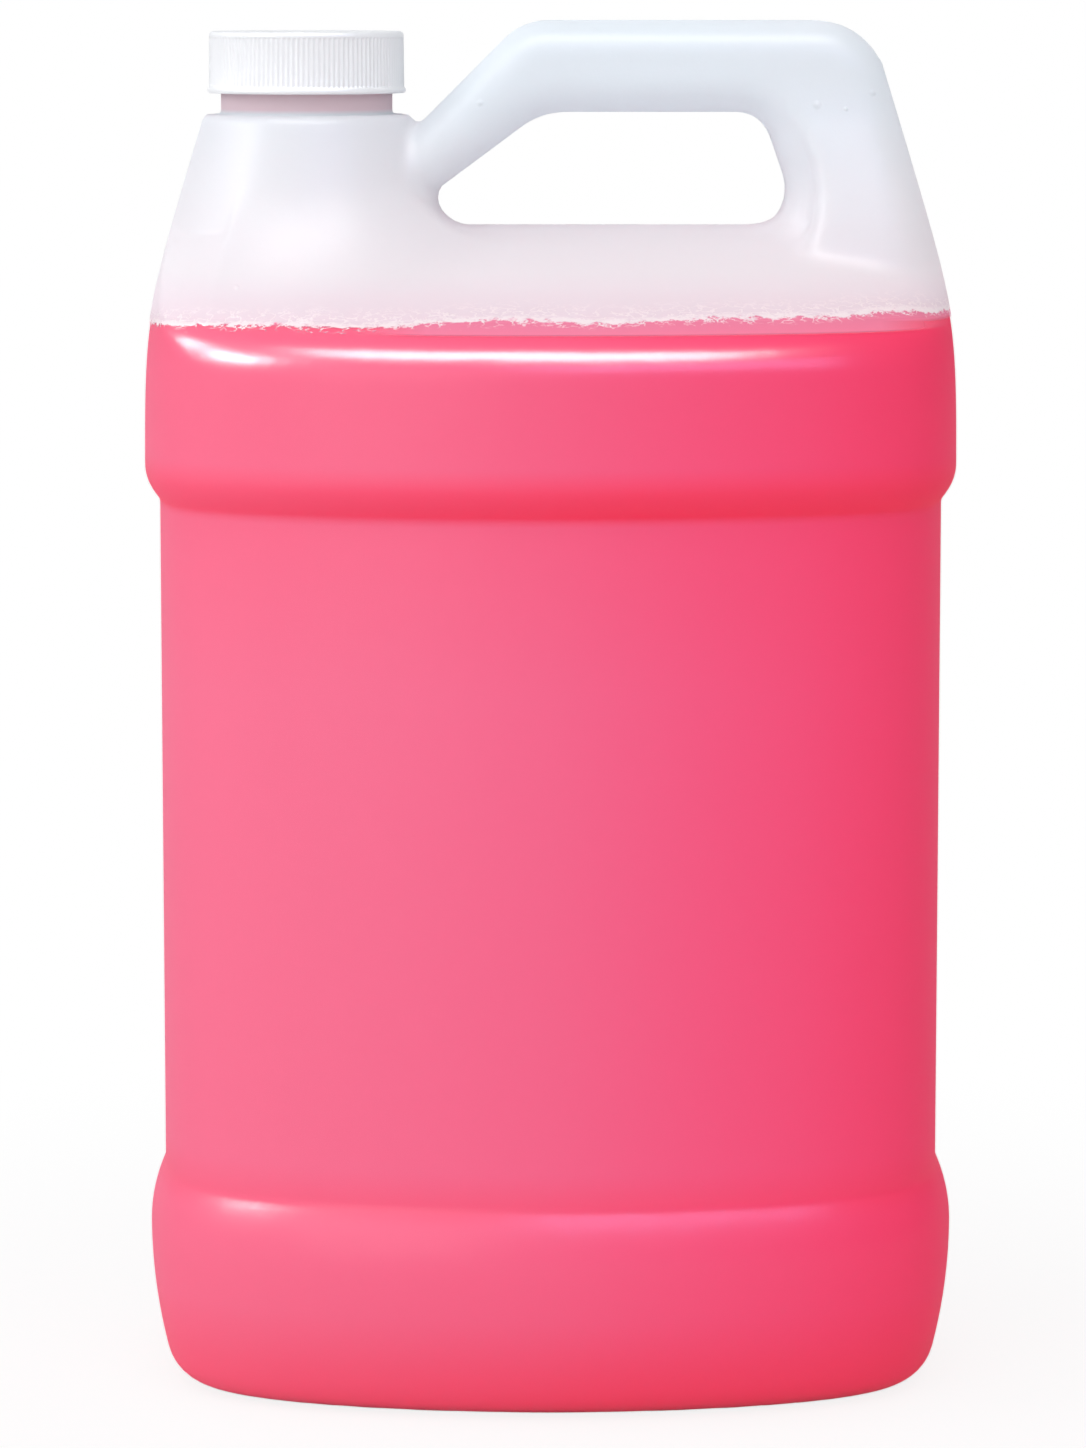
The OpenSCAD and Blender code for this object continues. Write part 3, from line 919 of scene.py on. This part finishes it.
neck_profile = [
    (MOUTH_R, PLATFORM_Z - WALL - 0.5), (MOUTH_R + 1.0, PLATFORM_Z - WALL - 0.5),
    (COLLAR_R + 0.9, PLATFORM_Z - WALL / 2), (COLLAR_R + 0.9, PLATFORM_Z - 0.1),
    (COLLAR_R + 0.4, PLATFORM_Z + 0.12), (COLLAR_R + 0.1, PLATFORM_Z + 0.45), (COLLAR_R, PLATFORM_Z + 0.9),
    (COLLAR_R, PLATFORM_Z + 4.3), (COLLAR_R - 0.1, PLATFORM_Z + 4.5), (FINISH_R, PLATFORM_Z + 4.8),
    (FINISH_R, MOUTH_Z - 0.5), (FINISH_R - 0.15, MOUTH_Z - 0.15), (FINISH_R - 0.5, MOUTH_Z),
    (MOUTH_R + 0.3, MOUTH_Z), (MOUTH_R, MOUTH_Z - 0.3), (MOUTH_R, PLATFORM_Z - WALL - 0.5),
]
neck_points, neck_faces = lathe(neck_profile, 128, NECK_X)
neck_faces = [f[::-1] for f in neck_faces]
screw = thread_points(FINISH_R - 0.02, THREAD_H, THREAD_Z, 0)
jug = make_object("jug_shell", *join([(points, quads), (neck_points, neck_faces), screw]), plastic)
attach(jug, "jug")
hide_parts("jug")


# The cleaner.


def cleaner(x, y, z):
    """The inside up to the cleaner's level, with a meniscus along the wall."""
    wall = bottle(x, y, z) + LIQUID_GAP
    meniscus = 0.8 * np.exp(np.clip(wall, -20, 0) / 1.3)
    return np.maximum(wall, z - FILL_Z - meniscus)


points, quads = settled_net(cleaner, CLEANER_GRID, LIQUID_STEP, 2)
liquid = make_object("cleaner_fill", points, quads, pink)
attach(liquid, "jug")
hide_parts("cleaner_liquid")


# The cap.

cap_top = CAP_Z + CAP_H
groove_low, groove_high = CAP_Z + BEAD_H + 0.1, cap_top - 1.25
cap_profile = [(0.0, cap_top - 0.35), (17.6, cap_top - 0.35), (18.6, cap_top - 0.12), (CAP_R - 0.9, cap_top)]
cap_profile += [(CAP_R - 0.9 + 0.9 * math.sin(t), cap_top - 0.9 + 0.9 * math.cos(t))
                for t in np.radians([18, 36, 54, 72, 90])]
first_rib = len(cap_profile)
cap_profile += [(CAP_R, groove_high + up) for up in (0.15, 0, -0.12, -0.35)]
cap_profile += [(CAP_R + 0.1, groove_low + up) for up in (0.35, 0.12, 0)]
cap_profile += [
    (CAP_R + 0.12, CAP_Z + BEAD_H + 0.02), (BEAD_R - 0.2, CAP_Z + BEAD_H - 0.05),
    (BEAD_R - 0.03, CAP_Z + BEAD_H - 0.25), (BEAD_R, CAP_Z + 0.5), (BEAD_R - 0.08, CAP_Z + 0.15),
    (BEAD_R - 0.3, CAP_Z), (BORE_R + 0.3, CAP_Z), (BORE_R, CAP_Z + 0.3), (BORE_R, cap_top - 1.6),
    (BORE_R - 0.3, cap_top - 1.3), (0.0, cap_top - 1.3),
]
groove_share = {first_rib + 1: 0.15, first_rib + 2: 0.75, first_rib + 3: 1.0,
                first_rib + 4: 1.0, first_rib + 5: 0.75, first_rib + 6: 0.15}


def groove_depth(k, angle):
    """How deep the grooves between the ribs are at profile point k, round the cap."""
    share = groove_share.get(k, 0.0)
    phase = (angle * GROOVES / (2 * math.pi)) % 1.0
    across = np.abs(phase - 0.5) * 2
    return GROOVE_DEPTH * share * np.sqrt(np.clip(1 - (across / GROOVE_W) ** 2, 0, 1))


cap_points, cap_faces = lathe(cap_profile, GROOVES * 6, NECK_X, groove_depth)
cap_faces = [f[::-1] for f in cap_faces]
cap_screw = thread_points(BORE_R + 0.02, -THREAD_H, THREAD_Z - THREAD_PITCH / 2, 0.15)
cap = make_object("ribbed_cap", *join([(cap_points, cap_faces), cap_screw]), white)
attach(cap, "cap")
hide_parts("screw_cap")

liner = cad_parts["cap_liner"]
liner.data.materials.clear()
liner.data.materials.append(foam)


# Floor, light and camera.


def floor_material():
    """White to the camera far from the jug, and a plain floor that keeps its shadow."""
    material, tree, out = new_material("pale_floor")
    link = tree.links.new
    diffuse = node(tree, "ShaderNodeBsdfDiffuse", Color=(0.9, 0.9, 0.9, 1))
    glow = node(tree, "ShaderNodeEmission", Color=(1, 1, 1, 1), Strength=1.0)
    seen = tree.nodes.new("ShaderNodeLightPath")
    direct = math_node(tree, "MAXIMUM", seen.outputs["Is Camera Ray"], seen.outputs["Is Transmission Ray"])
    direct = math_node(tree, "MAXIMUM", direct, seen.outputs["Is Glossy Ray"])
    coord = tree.nodes.new("ShaderNodeTexCoord").outputs["Object"]
    length = node(tree, "ShaderNodeVectorMath", operation="LENGTH")
    link(coord, length.inputs[0])
    plain = map_range(tree, length.outputs["Value"], 0.1, 0.35, 0.86, 1.0, smooth=True)
    share = math_node(tree, "MULTIPLY", direct, plain)
    mixed = tree.nodes.new("ShaderNodeMixShader")
    link(share, mixed.inputs[0])
    link(diffuse.outputs[0], mixed.inputs[1])
    link(glow.outputs[0], mixed.inputs[2])
    link(mixed.outputs[0], out.inputs[0])
    return material


FLOOR_HALF = 3000
corner_sides = ((-1, -1), (1, -1), (1, 1), (-1, 1))
floor_corners = [(across * FLOOR_HALF, along * FLOOR_HALF, 0) for across, along in corner_sides]
floor = make_object("floor", floor_corners, [(0, 1, 2, 3)], floor_material(), smooth=False)

world = bpy.data.worlds.new("studio")
bpy.context.scene.world = world
world.use_nodes = True
tree = world.node_tree
tree.nodes.clear()
paths = tree.nodes.new("ShaderNodeLightPath")
around = node(tree, "ShaderNodeBackground", Color=(0.97, 0.98, 1.0, 1), Strength=0.7)
backdrop = node(tree, "ShaderNodeBackground", Color=(1, 1, 1, 1), Strength=1.0)
choose = tree.nodes.new("ShaderNodeMixShader")
world_out = tree.nodes.new("ShaderNodeOutputWorld")
direct = math_node(tree, "MAXIMUM", paths.outputs["Is Camera Ray"], paths.outputs["Is Transmission Ray"])
tree.links.new(direct, choose.inputs[0])
tree.links.new(around.outputs[0], choose.inputs[1])
tree.links.new(backdrop.outputs[0], choose.inputs[2])
tree.links.new(choose.outputs[0], world_out.inputs[0])


def area_light(name, place, target, size, power, colour=(1, 1, 1), only_gloss=False):
    """A panel of light in metres and watts that faces its target."""
    data = bpy.data.lights.new(name, "AREA")
    data.shape = "RECTANGLE"
    data.size, data.size_y = size
    data.energy = power
    data.color = colour
    obj = bpy.data.objects.new(name, data)
    obj.location = place
    obj.rotation_euler = (Vector(target) - Vector(place)).to_track_quat("-Z", "Y").to_euler()
    obj.visible_diffuse = not only_gloss
    obj.visible_transmission = not only_gloss
    bpy.context.scene.collection.objects.link(obj)


area_light("left", (-1.2, -0.2, 0.9), (0, 0, 0.15), (0.7, 0.7), 4.0)
area_light("top", (-0.05, -0.6, 1.1), (0, 0, 0.18), (1.0, 0.6), 3.4)
area_light("front", (-0.7, -1.5, 0.5), (0, 0, 0.14), (0.9, 0.9), 2.6)

# Panels seen only as highlights on the plastic.
area_light("corner_glint", (-1.2, 0.12, 0.95), (0, 0, 0.15), (0.3, 0.3), 14.0, only_gloss=True)
area_light("ledge_glint", (-1.15, -0.5, 0.92), (0, 0, 0.08), (0.5, 0.32), 30.0, only_gloss=True)
area_light("shoulder_glint", (-0.05, -0.5, 1.15), (0, 0, 0.18), (1.0, 0.38), 42.0, only_gloss=True)
area_light("sky_glint", (0.5, -1.1, 0.95), (0, 0, 0.1), (1.3, 0.5), 12.0, (0.45, 0.5, 1.0), only_gloss=True)

camera_data = bpy.data.cameras.new("camera")
camera_data.sensor_width = 36
camera_data.lens = camera_data.sensor_width * FOCAL_PX / PHOTO_H
camera_data.sensor_fit = "AUTO"
camera = bpy.data.objects.new("camera", camera_data)
camera.location = CAMERA_AT
camera.rotation_euler = (math.radians(90 - CAMERA_DOWN), 0, 0)
bpy.context.scene.collection.objects.link(camera)
bpy.context.scene.camera = camera
bpy.context.scene.view_settings.view_transform = "Standard"
